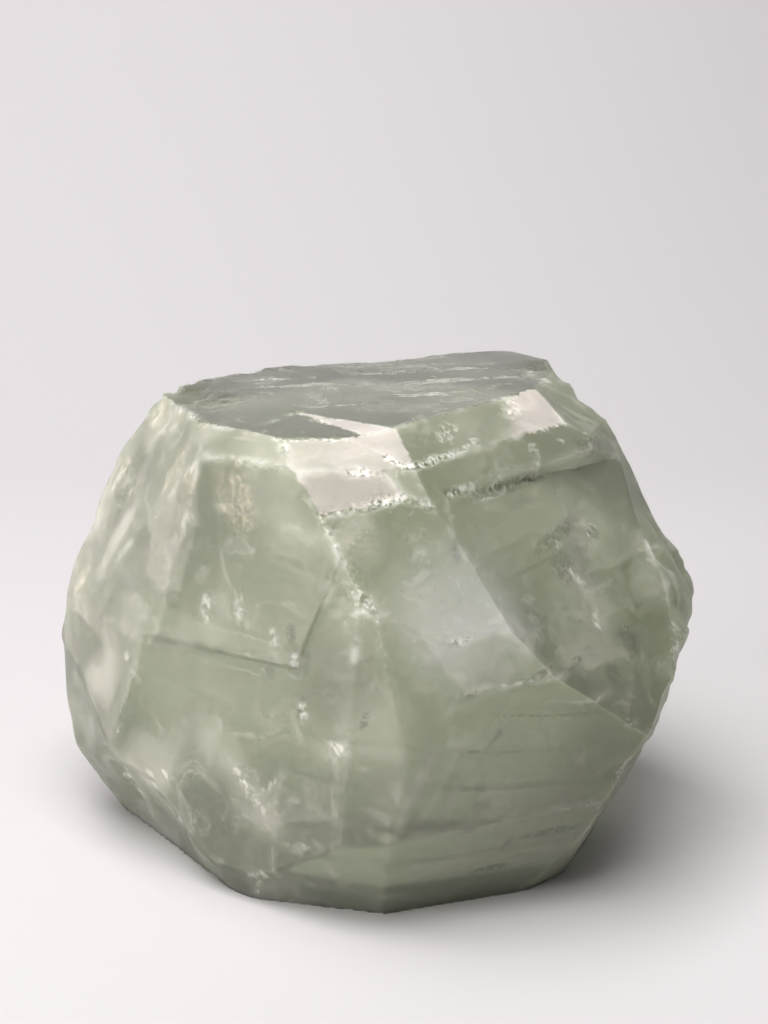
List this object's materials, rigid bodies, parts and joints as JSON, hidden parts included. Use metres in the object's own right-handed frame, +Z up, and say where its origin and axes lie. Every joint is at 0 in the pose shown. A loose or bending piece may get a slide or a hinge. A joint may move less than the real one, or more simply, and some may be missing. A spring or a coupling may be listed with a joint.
{
  "type": "sanidine specimen",
  "caption": "Palm-sized block of pale sage-grey, translucent feldspar crystal with a flat top, bright bevels, stepped flanks and a flat base.",
  "frame": {"origin": "middle of the bounding box in plan, level with the flat base", "axes": "+Z up, -Y towards the front with the bright bevels, +X to the right seen from the front"},
  "size_m": [0.0752, 0.0618, 0.0518],
  "materials": {
    "sanidine": "satin"
  },
  "bodies": {
    "root": {"crystal": "sanidine"}
  },
  "joints": []
}
